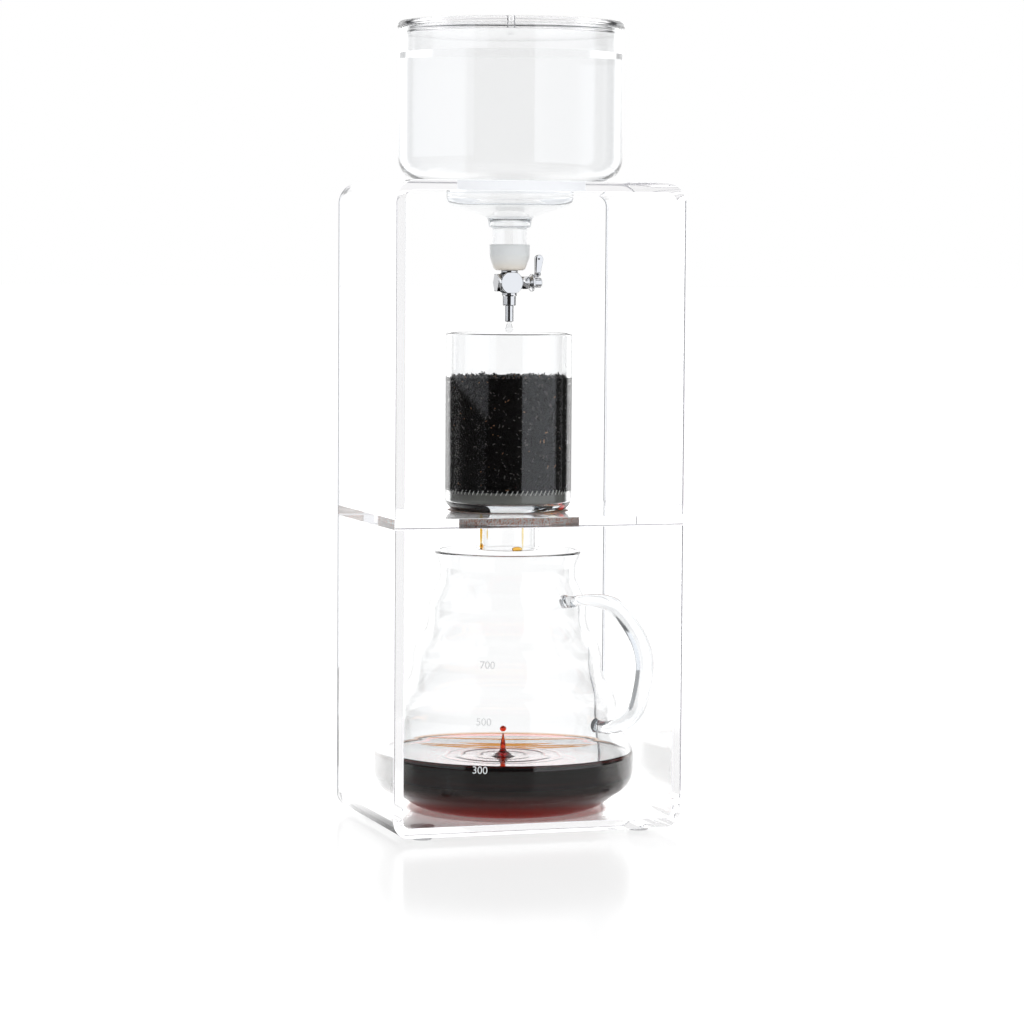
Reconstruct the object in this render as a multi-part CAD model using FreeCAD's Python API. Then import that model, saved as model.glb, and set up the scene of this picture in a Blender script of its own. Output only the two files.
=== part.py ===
"""Cold drip coffee tower, in millimetres, +Z up.

An acrylic stand holds three glass vessels above one another: a water tank with a drip
valve in its neck, a strainer with the ground coffee, and a jug. The model is built about
the tower's vertical axis, and its origin is the middle of the whole footprint, at table
level. Each piece is written to its own STEP file.
"""
import FreeCAD, Part
import math
import os

# ---------------------------------------------------------------- driving sizes
# Stand: two bent acrylic sheets with a flat shelf cemented between them.
stand_width = 148.0
stand_depth = 106.0
sheet_t = 5.0
lower_height = 150.0        # underside of the base to underside of the shelf
upper_height = 163.0        # top of the shelf to top of the stand
base_bend_r = 8.2           # outside radius of the two lower bends
top_bend_r = 10.5           # outside radius of the two upper bends
edge_break = 0.4            # polished bevel on the sheet edges
foot_r = 6.0
foot_h = 2.5
foot_inset_x = 18.0         # side of the stand to the foot's centre
foot_inset_y = 12.0         # front or back of the stand to the foot's centre

# Clearances.
seat_gap = 0.1              # between pieces of one assembly that lie in one another
turn_gap = 0.05             # around the turning plug, its stem and its seals
drop_gap = 0.8              # around a vessel that stands in a hole of the stand
slide_gap = 0.5             # between the jug's rim and the strainer's outlet above it

# Water tank.
tank_r = 55.7
tank_wall = 2.5
tank_height = 76.0          # above the stand
tank_corner_r = 12.0
throat_r = 31.7             # the part that stands in the hole of the stand
throat_depth = 10.9
throat_corner_r = 6.0
funnel_depth = 6.3
collar_r = 10.3
collar_height = 5.0
collar_flare = 0.8          # how much wider the collar is where it meets the funnel
neck_r = 8.6
neck_wall = 1.7
neck_length = 14.5
water_depth = 61.0          # above the tank's floor
rim_round = 0.9             # melted edge of each vessel

# Lid of the tank.
lid_t = 3.0
lid_overhang = 0.8          # past the tank's wall
lid_step_depth = 3.0        # locating step inside the tank
lid_step_gap = 0.6
air_hole_r = 1.5

# Silicone sleeve between the neck and the valve.
sleeve_r = 10.05
sleeve_lap = 6.1            # how far it reaches up the neck
sleeve_base = 6.7           # solid end below the neck
sleeve_end_r = 7.6
sleeve_taper = 6.4          # height of the drawn-in lower end

# Drip valve: a drum with a cross plug, its flow bore upright.
drum_r = 5.8
drum_half_depth = 4.2
drum_half_height = 5.0
drum_bevel = 0.4
flow_r = 1.5
plug_r = 2.6
plug_left = 3.1             # from the flow bore to the plug's blind end
stem_r = 1.7
seal_wire_r = 0.4
seal_place = 2.25           # from the flow bore to each seal, along the plug
spigot_r = 2.4
spigot_length = 1.3
inlet_flange_r = 4.2
inlet_flange_t = 1.2
inlet_tube_r = 3.2
inlet_rise = 9.3            # tube above its flange
barb_step = 0.35
barb_count = 3
cap_flats = 8.6
cap_t = 2.0
boss_r = 4.1                # seat of the end cap on the drum
boss_reach = 5.2            # from the flow bore to that seat
spring_t = 0.3
gland_flats = 6.2
gland_length = 3.6
gland_seat = 6.2            # from the flow bore to the gland's seat on the drum
nozzle_collar_r = 3.75
nozzle_collar_h = 1.7
nozzle_r = 3.3
nozzle_length = 6.4         # below the drum, with its collar
tip_r = 2.1
tip_bore_r = 1.0
tip_length = 8.0            # below the nozzle
tip_socket = 3.0            # inside the nozzle

# Lever on the plug's stem.
hub_gap = 0.3               # gland to hub
hub_flange_r = 4.4
hub_flange_t = 2.5
hub_r = 2.5
hub_length = 6.4            # with its flange
hub_bevel = 0.5
lever_place = 4.5           # start of the hub to the lever, along the stem
lever_foot_r = 1.65
lever_tip_r = 2.1
lever_foot_height = 4.35    # above the stem's axis
lever_height = 11.9         # stem's axis to the middle of the lever's tip
lever_lean = 0.7            # how far the tip stands out past the foot
lever_half_t = 1.15
lever_waist_r = 1.3
lever_eye_r = 0.55
shank_r = 0.8
dimple_depth = 0.4          # in the stem, under the shank

# Strainer.
strainer_r = 31.6
strainer_wall = 1.9
strainer_height = 88.4      # above the shelf
strainer_corner_r = 6.0
strainer_floor = 4.0
outlet_r = 15.6
outlet_wall = 1.8
ring_height = 6.0
ring_width = 3.4
ring_ledge = 1.0            # ledge under the mesh
ring_ledge_height = 3.2
notch_count = 72
notch_width = 0.8
notch_depth = 1.4
notch_slant = 25.0          # degrees
mesh_t = 0.6
mesh_hole_r = 1.1
mesh_rings = 4
mesh_pitch = 5.6
grounds_height = 57.0       # above the filter ring
grounds_crown = 0.8

# Jug: the corners of its outline (radius, height above its foot, rounding), up to its lip.
jug_height = 129.8
jug_wall = 2.0
bowl_corners = ((44.1, 0.0, 25.0), (63.6, 13.7, 11.5), (63.6, 31.2, 16.0))
wave_start = 44.0           # height of the first waist
wave_r = 55.3               # radius of the wall above the first waist
wave_pitch = 24.0
wave_step = 7.8             # how much narrower each wave is than the one below
wave_round = 16.0
wave_count = 2
throat_corners = ((39.7, 92.0, 16.0), (39.7, 103.6, 12.0), (33.86, 116.0, 8.0), (33.86, 121.7, 8.0))
jug_lip = (36.6, 129.3)
coffee_depth = 28.5         # surface of the coffee above the jug's foot

# Handle of the jug, in an upright plane through the jug's axis.
handle_angle = 54.5         # degrees from +X towards the front
handle_half_r = 4.0         # half thickness, towards the jug
handle_half_w = 5.7         # half width, across
handle_neck = 2.6           # half size where it is thinnest
handle_weld_r = 4.3         # half size of the weld on the jug
handle_upper_height = 106.2  # height of the upper weld above the jug's foot
handle_lower_height = 45.8
handle_span = 83.8          # jug's axis to the middle of the grip
grip_height = 74.5          # height of the widest place of the grip
upper_bends = ((48.5, -0.4), (43.6, 0.0), (40.6, 0.9), (28.5, 1.5), (17.5, -0.9), (6.8, -11.0))
grip_bends = ((1.0, 10.5), (0.0, -1.0))     # each: in from the span, up from the grip's height
lower_bends = ((4.0, 11.2), (11.5, 3.2), (20.3, 0.0), (24.5, -0.3), (27.0, -0.2), (31.5, 0.0))

# The handle reaches further to the front than the jug to the back, so the tower's axis
# stands this far behind the middle of the footprint.
tower_y = 5.6

# ---------------------------------------------------------------- worked out sizes
base_top = foot_h + sheet_t
shelf_low = foot_h + lower_height
shelf_top = shelf_low + sheet_t
stand_top = shelf_top + upper_height
tank_floor = stand_top + tank_wall
tank_rim = stand_top + tank_height
throat_low = stand_top - throat_depth
funnel_low = throat_low - funnel_depth
collar_low = funnel_low - collar_height
neck_low = collar_low - neck_length
water_level = tank_floor + water_depth
sleeve_low = neck_low - sleeve_base
drum_top = sleeve_low - inlet_flange_t
valve_z = drum_top - drum_half_height
drum_low = valve_z - drum_half_height
nozzle_low = drum_low - nozzle_length
inlet_top = sleeve_low + inlet_rise
plug_bore_r = plug_r + turn_gap
stem_bore_r = stem_r + turn_gap
hub_start = gland_seat + gland_length + hub_gap
hub_end = hub_start + hub_length
lever_x = hub_start + lever_place
strainer_rim = shelf_top + strainer_height
strainer_floor_top = shelf_top + strainer_floor
ring_top = strainer_floor_top + ring_height
ring_r = strainer_r - strainer_wall - seat_gap
mesh_low = strainer_floor_top + ring_ledge_height
grounds_top = ring_top + grounds_height
jug_rim = base_top + jug_height
outlet_low = jug_rim + slide_gap
handle_dir = math.radians(handle_angle)


# ---------------------------------------------------------------- drawing helpers
def at(x, y, z):
    return FreeCAD.Vector(x, y, z)


def closed_wire(corners, place):
    """A closed wire through corners (a, b) or (a, b, radius); place turns (a, b) into a point."""
    points = [place(corner[0], corner[1]) for corner in corners]
    radii = [corner[2] if len(corner) > 2 else 0 for corner in corners]
    count = len(points)
    ins, outs, mids = [], [], []
    for i, point in enumerate(points):
        before = (points[i - 1] - point).normalize()
        after = (points[(i + 1) % count] - point).normalize()
        half = before.getAngle(after) / 2
        run = radii[i] / math.tan(half) if radii[i] else 0
        ins.append(point + before * run)
        outs.append(point + after * run)
        if radii[i]:
            bisector = (before + after).normalize()
            mids.append(point + bisector * (radii[i] / math.sin(half) - radii[i]))
        else:
            mids.append(None)
    edges = []
    for i in range(count):
        if mids[i] is not None:
            edges.append(Part.Arc(ins[i], mids[i], outs[i]).toShape())
        reach = ins[(i + 1) % count]
        if outs[i].distanceToPoint(reach) > 1e-6:
            edges.append(Part.makeLine(outs[i], reach))
    return Part.Wire(edges)


def turned(corners):
    """A solid turned about the tower's axis from corners (radius, height, rounding)."""
    wire = closed_wire(corners, lambda r, z: at(r, 0, z))
    return Part.Face(wire).revolve(at(0, 0, 0), at(0, 0, 1), 360)


def turned_x(corners):
    """A solid turned about the valve's stem from corners (place along it, radius, rounding)."""
    wire = closed_wire(corners, lambda x, r: at(x, 0, valve_z + r))
    return Part.Face(wire).revolve(at(0, 0, valve_z), at(1, 0, 0), 360)


def upright(radius, low, high, x=0.0, y=0.0):
    return Part.makeCylinder(radius, high - low, at(x, y, low), at(0, 0, 1))


def along_x(radius, start, end):
    return Part.makeCylinder(radius, end - start, at(start, 0, valve_z), at(1, 0, 0))


def hexagon_x(flats, start, end):
    """A hexagonal nut about the valve's stem, with flats above and below and turned corners."""
    corner = flats / math.sqrt(3)
    turns = [math.radians(60 * i) for i in range(7)]
    points = [at(start, corner * math.cos(turn), valve_z + corner * math.sin(turn)) for turn in turns]
    bar = Part.Face(Part.makePolygon(points)).extrude(at(end - start, 0, 0))
    bevel = corner - flats / 2
    disc = turned_x([(start, 0), (start, corner - bevel / 2), (start + bevel / 2, corner),
                     (end - bevel, corner), (end, corner - bevel), (end, 0)])
    return bar.common(disc)


# ---------------------------------------------------------------- stand
def bent_sheet(open_z, closed_z, bend_r):
    """Two walls and the plate that joins them, bent from one sheet; the ends lie at open_z."""
    side = 1 if closed_z > open_z else -1
    half = stand_width / 2
    inner = half - sheet_t
    inner_z = closed_z - side * sheet_t
    corners = [(-half, open_z), (-half, closed_z, bend_r), (half, closed_z, bend_r), (half, open_z),
               (inner, open_z), (inner, inner_z, bend_r - sheet_t),
               (-inner, inner_z, bend_r - sheet_t), (-inner, open_z)]
    wire = closed_wire(corners, lambda x, z: at(x, -stand_depth / 2, z))
    sheet = Part.Face(wire).extrude(at(0, stand_depth, 0))
    return break_edges(sheet)


def break_edges(sheet):
    """Bevel the long edges of a sheet at the front and back of the stand."""
    half = stand_depth / 2
    edges = [edge for edge in sheet.Edges
             if abs(abs(edge.BoundBox.YMin) - half) < 1e-4 and edge.BoundBox.YLength < 1e-4
             and edge.Length > sheet_t + 1e-4]
    return sheet.makeChamfer(edge_break, edges)


def upper_frame():
    sheet = bent_sheet(shelf_top, stand_top, top_bend_r)
    hole = upright(throat_r + drop_gap, stand_top - 2 * sheet_t, stand_top + sheet_t)
    return sheet.cut(hole)


def lower_frame():
    return bent_sheet(shelf_low, foot_h, base_bend_r)


def shelf():
    plate = Part.makeBox(stand_width, stand_depth, sheet_t, at(-stand_width / 2, -stand_depth / 2, shelf_low))
    hole = upright(outlet_r + drop_gap, shelf_low - sheet_t, shelf_top + sheet_t)
    return break_edges(plate).cut(hole)


def bumper_feet():
    foot = turned([(0, 0), (foot_r - 1.6, 0, 0.8), (foot_r, foot_h), (0, foot_h)])
    x = stand_width / 2 - foot_inset_x
    y = stand_depth / 2 - foot_inset_y
    return Part.makeCompound([foot.translated(at(i * x, j * y, 0)) for i in (-1, 1) for j in (-1, 1)])


# ---------------------------------------------------------------- water tank
def tank_cavity(gap):
    """Corners of the tank's inside from the neck's end up to its wall, a gap clear of the glass."""
    wall_r = tank_r - tank_wall - gap
    narrow = neck_r - neck_wall - gap
    throat = throat_r - tank_wall - gap
    floor = tank_floor + gap
    return [(narrow, neck_low), (narrow, funnel_low + tank_wall + gap, 3.0),
            (throat, throat_low + tank_wall + gap, throat_corner_r - tank_wall),
            (throat, floor, tank_wall), (wall_r, floor, tank_corner_r - tank_wall)]


def water_tank():
    outside = [(neck_r, neck_low, 0.5), (neck_r, collar_low, 0.8), (collar_r, collar_low, 1.2),
               (collar_r + collar_flare, funnel_low, 2.5), (throat_r, throat_low, throat_corner_r),
               (throat_r, stand_top), (tank_r, stand_top, tank_corner_r), (tank_r, tank_rim, rim_round)]
    inside = tank_cavity(0)
    rim = [(inside[-1][0], tank_rim, rim_round)]
    return turned(outside + rim + inside[::-1])


def tank_water():
    cavity = tank_cavity(seat_gap)
    tube = inlet_tube_r + seat_gap
    top = inlet_top + seat_gap
    corners = [(tube, neck_low), *cavity, (cavity[-1][0], water_level), (0, water_level), (0, top), (tube, top)]
    return turned(corners)


def tank_lid():
    step_r = tank_r - tank_wall - lid_step_gap
    lid_r = tank_r + lid_overhang
    return turned([(air_hole_r, tank_rim - lid_step_depth), (step_r, tank_rim - lid_step_depth, 0.6),
                   (step_r, tank_rim), (lid_r, tank_rim, 0.6), (lid_r, tank_rim + lid_t, 1.0),
                   (air_hole_r, tank_rim + lid_t, 0.5)])


def neck_sleeve():
    socket_r = neck_r + seat_gap
    socket_low = neck_low - seat_gap
    tube_r = inlet_tube_r + seat_gap
    top = neck_low + sleeve_lap
    return turned([(tube_r, sleeve_low), (sleeve_end_r, sleeve_low, 2.2),
                   (sleeve_r - 0.2, sleeve_low + sleeve_taper, 4.0), (sleeve_r, top, 0.5), (socket_r, top, 0.4),
                   (socket_r, socket_low), (tube_r, socket_low)])


# ---------------------------------------------------------------- drip valve
def valve_body():
    drum = Part.makeCylinder(drum_r, 2 * drum_half_depth, at(0, -drum_half_depth, valve_z), at(0, 1, 0))
    drum = drum.makeChamfer(drum_bevel, [e for e in drum.Edges if e.BoundBox.YLength < 1e-6])
    slab = Part.makeBox(4 * drum_r, 4 * drum_r, 2 * drum_half_height, at(-boss_reach, -2 * drum_r, drum_low))
    drum = drum.common(slab)
    boss = along_x(boss_r, -boss_reach, 0)
    seat = along_x(gland_flats / 2, 0, gland_seat)
    body = drum.fuse([boss, seat]).removeSplitter()
    cuts = [along_x(plug_bore_r, -2 * drum_r, 2 * drum_r), upright(flow_r, drum_low - 1, drum_top + 1)]
    socket = spigot_r + seat_gap
    cuts.append(upright(socket, drum_top - spigot_length - seat_gap, drum_top + 1))
    cuts.append(upright(socket, drum_low - 1, drum_low + spigot_length + seat_gap))
    return body.cut(cuts)


def inlet_tube():
    barb_root = inlet_tube_r - barb_step
    pitch = inlet_rise / (barb_count + 1)
    flange_top = sleeve_low - seat_gap
    corners = [(flow_r, drum_top - spigot_length), (spigot_r, drum_top - spigot_length), (spigot_r, drum_top),
               (inlet_flange_r, drum_top, 0.2), (inlet_flange_r, flange_top, 0.2), (barb_root, flange_top)]
    for i in range(1, barb_count + 1):
        edge = sleeve_low + i * pitch
        corners += [(barb_root, edge - 0.2), (inlet_tube_r, edge - 0.1), (barb_root, edge + pitch - 0.3)]
    corners += [(barb_root, inlet_top, 0.3), (flow_r, inlet_top)]
    return turned(corners)


def drip_nozzle():
    collar_end = drum_low - nozzle_collar_h
    socket = tip_r + seat_gap
    return turned([(flow_r, drum_low + spigot_length), (spigot_r, drum_low + spigot_length),
                   (spigot_r, drum_low), (nozzle_collar_r, drum_low, 0.2),
                   (nozzle_collar_r, collar_end + 0.5, 0.3), (nozzle_r, collar_end),
                   (nozzle_r, nozzle_low, 0.5), (socket, nozzle_low),
                   (socket, nozzle_low + tip_socket + seat_gap), (flow_r, nozzle_low + tip_socket + seat_gap)])


def drip_tip():
    top = nozzle_low + tip_socket
    low = nozzle_low - tip_length
    return turned([(tip_bore_r, low), (tip_r, low, 0.35), (tip_r, top), (tip_bore_r, top)])


def end_cap():
    outer = -boss_reach - cap_t
    nut = hexagon_x(cap_flats, outer, -boss_reach)
    return nut.fuse(along_x(plug_bore_r - seat_gap, -boss_reach, -boss_reach + spigot_length)).removeSplitter()


def plug_spring():
    """A dished washer that presses the plug against the gland."""
    left = -boss_reach + spigot_length + turn_gap
    right = -plug_left - turn_gap
    rim = plug_r - seat_gap
    hole = rim / 2
    return turned_x([(left, rim), (left + spring_t, rim), (right, hole), (right - spring_t, hole)])


def gland_nut():
    nut = hexagon_x(gland_flats, gland_seat, gland_seat + gland_length)
    nut = nut.fuse(along_x(plug_bore_r - seat_gap, gland_seat - spigot_length, gland_seat)).removeSplitter()
    return nut.cut(along_x(stem_bore_r, 0, hub_end))


def valve_plug():
    right = gland_seat - spigot_length - turn_gap
    plug = turned_x([(-plug_left, 0), (-plug_left, plug_r, 0.2), (right, plug_r), (right, stem_r),
                     (hub_end - hub_bevel, stem_r), (hub_end - hub_bevel, 0)])
    for side in (-1, 1):
        place = side * seal_place
        groove = along_x(plug_r + 1, place - seal_wire_r - turn_gap, place + seal_wire_r + turn_gap)
        core = along_x(plug_r - 2 * seal_wire_r, place - 1, place + 1)
        plug = plug.cut(groove.cut(core))
    dimple = upright(shank_r + seat_gap, valve_z + stem_r - dimple_depth, valve_z + 2 * stem_r, lever_x)
    return plug.cut([upright(flow_r, valve_z - 2 * plug_r, valve_z + 2 * plug_r), dimple])


def plug_seals():
    middle = plug_r - seal_wire_r
    rings = [Part.makeTorus(middle, seal_wire_r - turn_gap / 2, at(side * seal_place, 0, valve_z), at(1, 0, 0))
             for side in (-1, 1)]
    return Part.makeCompound(rings)


# ---------------------------------------------------------------- lever
def lever_hub():
    flange_end = hub_start + hub_flange_t
    hub = turned_x([(hub_start, stem_r + seat_gap), (hub_start, hub_flange_r - 1.2),
                    (hub_start + 1.2, hub_flange_r, 0.3), (flange_end, hub_flange_r - 0.4, 0.3),
                    (flange_end, hub_r), (hub_end, hub_r, hub_bevel), (hub_end, stem_r + seat_gap)])
    return hub.cut(upright(shank_r + seat_gap, valve_z, valve_z + 2 * hub_r, lever_x))


def lever_arm():
    """A flat lever with a round foot and tip; its shank is screwed through the hub onto the stem."""
    foot = at(lever_x, 0, valve_z + lever_foot_height)
    tip = at(lever_x + lever_lean, 0, valve_z + lever_height)
    way = (tip - foot).normalize()
    side = way.cross(at(0, 1, 0))
    waist = foot + way * (lever_foot_r + 0.6)
    thick = at(0, 2 * lever_half_t, 0)
    outline = [foot + side * lever_waist_r, waist + side * lever_waist_r, tip + side * lever_tip_r,
               tip - side * lever_tip_r, waist - side * lever_waist_r, foot - side * lever_waist_r]
    web = Part.Face(Part.makePolygon(outline + outline[:1])).translated(thick * -0.5).extrude(thick)
    ball = Part.makeSphere(lever_foot_r, foot)
    head = Part.makeCylinder(lever_tip_r, 2 * lever_half_t, tip - thick * 0.5, at(0, 1, 0))
    shank = upright(shank_r, valve_z + stem_r - dimple_depth + seat_gap, foot.z, lever_x)
    arm = web.fuse([ball, head, shank]).removeSplitter()
    eye = Part.makeCylinder(lever_eye_r, 4 * lever_half_t, tip - thick, at(0, 1, 0))
    return arm.cut(eye)


# ---------------------------------------------------------------- strainer
def strainer_glass():
    inner = strainer_r - strainer_wall
    outlet_in = outlet_r - outlet_wall
    floor = strainer_floor_top
    return turned([(outlet_r, outlet_low, 0.8), (outlet_r, shelf_top),
                   (strainer_r, shelf_top, strainer_corner_r), (strainer_r, strainer_rim, rim_round),
                   (inner, strainer_rim, rim_round), (inner, floor, 1.5), (outlet_in, floor, 1.5),
                   (outlet_in, outlet_low, 0.8)])


def filter_ring():
    inner = ring_r - ring_width
    low = strainer_floor_top + seat_gap
    ledge_z = mesh_low - seat_gap
    ring = turned([(inner - ring_ledge, low, 0.4), (ring_r, low, 1.7), (ring_r, ring_top), (inner, ring_top),
                   (inner, ledge_z), (inner - ring_ledge, ledge_z)])
    notch = Part.makeBox(notch_width, 2 * ring_width, 2 * notch_depth,
                         at(-notch_width / 2, ring_r - ring_width / 2, -notch_depth))
    notch.rotate(at(0, 0, 0), at(0, 1, 0), notch_slant)
    notch.translate(at(0, 0, ring_top))
    notches = [notch.rotated(at(0, 0, 0), at(0, 0, 1), 360 * i / notch_count) for i in range(notch_count)]
    return ring.cut(notches)


def filter_mesh():
    disc = upright(ring_r - ring_width - seat_gap, mesh_low, mesh_low + mesh_t)
    holes = [upright(mesh_hole_r, mesh_low - 1, mesh_low + 2 * mesh_t)]
    for ring in range(1, mesh_rings + 1):
        for i in range(6 * ring):
            turn = 2 * math.pi * i / (6 * ring)
            x = ring * mesh_pitch * math.cos(turn)
            y = ring * mesh_pitch * math.sin(turn)
            holes.append(upright(mesh_hole_r, mesh_low - 1, mesh_low + 2 * mesh_t, x, y))
    return disc.cut(holes)


def coffee_grounds():
    bed_r = ring_r - ring_width - seat_gap
    bed_z = mesh_low + mesh_t + seat_gap
    return turned([(0, bed_z), (bed_r, bed_z), (bed_r, ring_top + seat_gap), (ring_r, ring_top + seat_gap),
                   (ring_r, grounds_top - grounds_crown, 0.6), (ring_r / 2, grounds_top), (0, grounds_top)])


# ---------------------------------------------------------------- jug
def jug_outline():
    """Corners of the jug's outside from the middle of its foot to its lip: bowl, waved wall, throat."""
    waves = []
    for i in range(wave_count):
        height = wave_start + i * wave_pitch
        radius = wave_r - i * wave_step
        waves += [(radius, height, wave_round), (radius, height + wave_pitch / 2, wave_round)]
    return [(0.0, 0.0), *bowl_corners, *waves, *throat_corners, jug_lip]


def inset_corners(corners, depth):
    """An open outline moved to its left by a depth, with its roundings kept concentric."""
    points = [at(corner[0], corner[1], 0) for corner in corners]
    ways = [(after - before).normalize() for before, after in zip(points, points[1:])]
    moved = []
    for i, point in enumerate(points):
        before = ways[max(i - 1, 0)]
        after = ways[min(i, len(ways) - 1)]
        lefts = at(-before.y - after.y, before.x + after.x, 0)
        place = point + lefts * (depth / (1 + before.dot(after)))
        bend = math.copysign(1, before.cross(after).z)
        rounding = corners[i][2] - bend * depth if len(corners[i]) > 2 else 0
        moved.append((place.x, place.y, rounding))
    return moved


def on_base(corners):
    return [(r, base_top + h, rounding) for r, h, rounding in corners]


def filled_jug(depth):
    """The solid inside the jug's outline at a depth in the glass, up to its lip."""
    corners = on_base(inset_corners(jug_outline(), depth))
    return turned(corners + [(0, corners[-1][1])])


def server_glass():
    outside = on_base(inset_corners(jug_outline(), 0))
    inside = on_base(inset_corners(jug_outline(), jug_wall))
    lip = [(r, z, rim_round) for r, z, _ in (outside[-1], inside[-1])]
    return turned(outside[:-1] + lip + inside[-2::-1])


def brewed_coffee():
    surface = upright(2 * wave_r, base_top, base_top + coffee_depth)
    return filled_jug(jug_wall + seat_gap).common(surface)


def handle_stations():
    """Sections of the handle: distance from the jug's axis, height, half thickness, half width."""
    thin, weld, fat, wide = handle_neck, handle_weld_r, handle_half_r, handle_half_w
    girths = [(weld, 1.01 * weld), (0.79 * weld, 0.8 * weld), (thin, 1.04 * thin), (0.85 * fat, 0.75 * wide),
              (fat, 0.95 * wide), (fat, wide), (fat, wide), (fat, wide), (fat, wide), (0.95 * fat, 0.9 * wide),
              (0.8 * fat, 0.65 * wide), (1.15 * thin, 1.19 * thin), (0.86 * weld, 0.885 * weld), (weld, 1.01 * weld)]
    places = [(reach, handle_upper_height + rise) for reach, rise in upper_bends]
    places += [(reach, grip_height + rise) for reach, rise in grip_bends]
    places += [(reach, handle_lower_height + rise) for reach, rise in lower_bends]
    return [(handle_span - reach, height, *girth) for (reach, height), girth in zip(places, girths)]


def server_handle():
    out = at(math.cos(handle_dir), -math.sin(handle_dir), 0)
    across = at(math.sin(handle_dir), math.cos(handle_dir), 0)
    stations = handle_stations()
    middles = [out * span + at(0, 0, base_top + height) for span, height, _, _ in stations]
    sections = []
    for i, (_, _, half_r, half_w) in enumerate(stations):
        way = middles[min(i + 1, len(middles) - 1)] - middles[max(i - 1, 0)]
        flat = way.cross(across).normalize()
        oval = Part.Ellipse(middles[i] + across * half_w, middles[i] + flat * half_r, middles[i])
        sections.append(Part.Wire(oval.toShape()))
    rod = Part.makeLoft(sections, True, False)
    return rod.cut(filled_jug(-seat_gap))


# ---------------------------------------------------------------- all pieces
pieces = (upper_frame, shelf, lower_frame, bumper_feet,
          water_tank, tank_water, tank_lid, neck_sleeve,
          valve_body, inlet_tube, drip_nozzle, drip_tip, end_cap, plug_spring, gland_nut,
          valve_plug, plug_seals, lever_hub, lever_arm,
          strainer_glass, filter_ring, filter_mesh, coffee_grounds,
          server_glass, brewed_coffee, server_handle)

os.makedirs("parts", exist_ok=True)
for piece in pieces:
    shape = piece().translated(at(0, tower_y, 0))
    shape.exportStep("parts/" + piece.__name__ + ".step")
    print(piece.__name__, len(shape.Solids), "valid" if shape.isValid() else "not valid", round(shape.Volume, 1))
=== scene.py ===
"""Looks of the cold drip coffee tower: clear acrylic stand, water tank with drip valve,
strainer with ground coffee, and jug. Sizes are in millimetres about the tower's upright axis,
as in the CAD part, and turned into metres where a mesh is made."""

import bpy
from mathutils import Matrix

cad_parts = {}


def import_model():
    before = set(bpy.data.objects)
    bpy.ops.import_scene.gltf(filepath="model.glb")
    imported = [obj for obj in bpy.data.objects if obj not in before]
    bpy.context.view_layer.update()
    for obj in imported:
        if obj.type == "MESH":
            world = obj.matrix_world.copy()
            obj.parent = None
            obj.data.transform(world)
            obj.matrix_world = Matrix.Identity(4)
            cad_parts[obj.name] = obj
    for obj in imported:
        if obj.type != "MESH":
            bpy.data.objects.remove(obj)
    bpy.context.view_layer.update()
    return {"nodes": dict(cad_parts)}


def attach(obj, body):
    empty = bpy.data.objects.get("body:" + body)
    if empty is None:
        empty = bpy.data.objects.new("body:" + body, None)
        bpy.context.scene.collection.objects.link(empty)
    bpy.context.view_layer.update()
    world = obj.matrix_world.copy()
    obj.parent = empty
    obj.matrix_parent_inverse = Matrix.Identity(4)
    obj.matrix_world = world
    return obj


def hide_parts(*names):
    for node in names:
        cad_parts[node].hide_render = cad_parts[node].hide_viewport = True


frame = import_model()

import math
import random

import bmesh
import bpy
from mathutils import Matrix, Vector, noise

MM = 0.001
SMOOTH_ANGLE = math.radians(35)
CRISP_ANGLE = math.radians(20)
ROUND_SHARP = 3.0           # so wide an angle that a round piece gets no crisp edge

# ---------------- sizes shared with the part
tower_y = 5.6               # the tower's axis in the part's frame
stand_width, stand_depth, sheet_t = 148.0, 106.0, 5.0
lower_height, upper_height = 150.0, 163.0
foot_h = 2.5
base_top = foot_h + sheet_t
shelf_low = foot_h + lower_height
shelf_top = shelf_low + sheet_t
stand_top = shelf_top + upper_height
base_bend_r, top_bend_r = 8.2, 10.5
tank_hole_r, outlet_hole_r = 32.5, 16.4

rim_round = 0.9             # melted edge of each vessel
tank_r, tank_wall, tank_height = 55.7, 2.5, 76.0
tank_rim = stand_top + tank_height
tank_floor = stand_top + tank_wall
throat_r, throat_depth, funnel_depth = 31.7, 10.9, 6.3
throat_low = stand_top - throat_depth
funnel_low = throat_low - funnel_depth
collar_r, collar_height, collar_flare = 10.3, 5.0, 0.8
collar_low = funnel_low - collar_height
neck_r, neck_wall, neck_length = 8.6, 1.7, 14.5
neck_low = collar_low - neck_length
water_depth = 61.0
water_level = tank_floor + water_depth

sleeve_r, sleeve_lap, sleeve_base = 10.05, 6.1, 6.7
sleeve_low = neck_low - sleeve_base
flow_r, spigot_r, spigot_length = 1.5, 2.4, 1.3
inlet_flange_r, inlet_flange_t, inlet_tube_r, inlet_rise = 4.2, 1.2, 3.2, 9.3
drum_r, drum_half_depth, drum_half_height = 5.8, 4.2, 5.0
nozzle_collar_r, nozzle_collar_h, nozzle_r, nozzle_length = 3.75, 1.7, 3.3, 6.4
tip_r, tip_bore_r, tip_length, tip_socket = 2.1, 1.0, 8.0, 3.0
drum_top = sleeve_low - inlet_flange_t
valve_z = drum_top - drum_half_height
drum_low = valve_z - drum_half_height
nozzle_low = drum_low - nozzle_length
tip_low = nozzle_low - tip_length

jug_height, jug_wall, coffee_depth = 129.8, 2.0, 28.5
coffee_level = base_top + coffee_depth
handle_dir = math.radians(54.5)

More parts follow.
